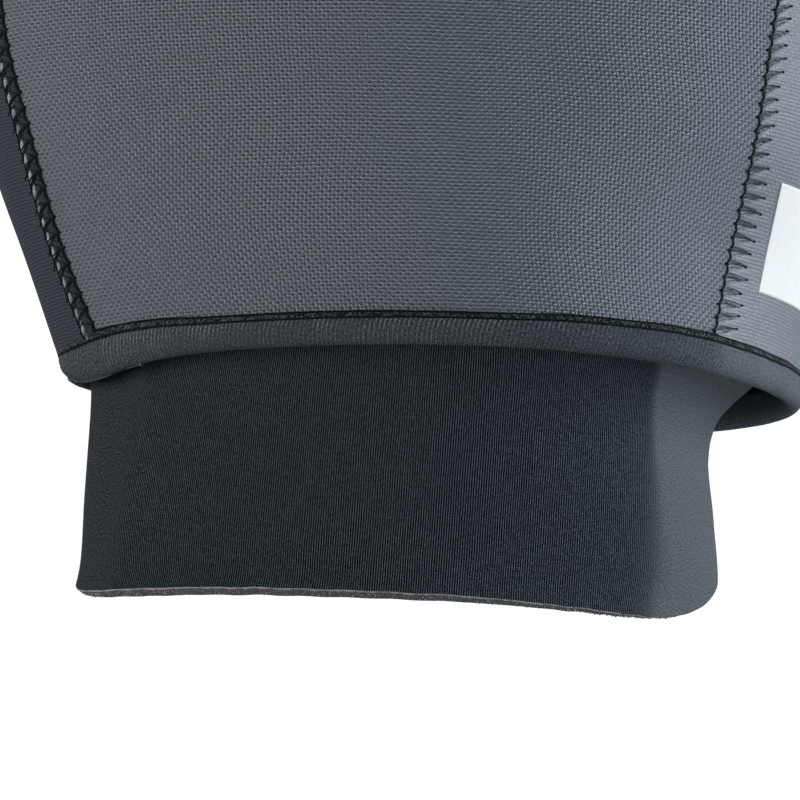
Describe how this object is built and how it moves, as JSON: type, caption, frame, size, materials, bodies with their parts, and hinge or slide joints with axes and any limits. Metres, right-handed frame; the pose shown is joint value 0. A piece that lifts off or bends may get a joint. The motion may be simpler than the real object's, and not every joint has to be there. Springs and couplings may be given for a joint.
{
  "type": "handlebar muff",
  "caption": "Neoprene muff that closes over a handlebar's end and the hand on it, with a bound hem, a ribbed inner cuff for the wrist and a side opening for the bar",
  "frame": {"origin": "on the axis of the handlebar that the muff is worn on, at the middle of the muff's width", "axes": "+X along the handlebar, from the bar opening in the left side panel toward the closed right side; +Y from the front panel toward the back panel; +Z from the wrist opening up to the closed crown"},
  "size_m": [0.2441, 0.1398, 0.3418],
  "materials": {
    "embossed_neoprene": "grey neoprene skin embossed with a fine plain weave, satin",
    "jersey_neoprene": "smooth dark jersey laminated on neoprene, matt",
    "binding_tape": "dark knitted edging tape, matt",
    "ribbed_neoprene": "near-black ribbed jersey laminated on neoprene, matt",
    "white_label": "bare white film label, soft sheen"
  },
  "bodies": {
    "root": {"front_panel": "embossed_neoprene", "back_panel": "embossed_neoprene", "right_side_panel": "embossed_neoprene", "left_side_panel": "jersey_neoprene", "hem_binding": "binding_tape", "bar_collar": "binding_tape", "inner_cuff": "ribbed_neoprene", "label_patch": "white_label"}
  },
  "joints": []
}
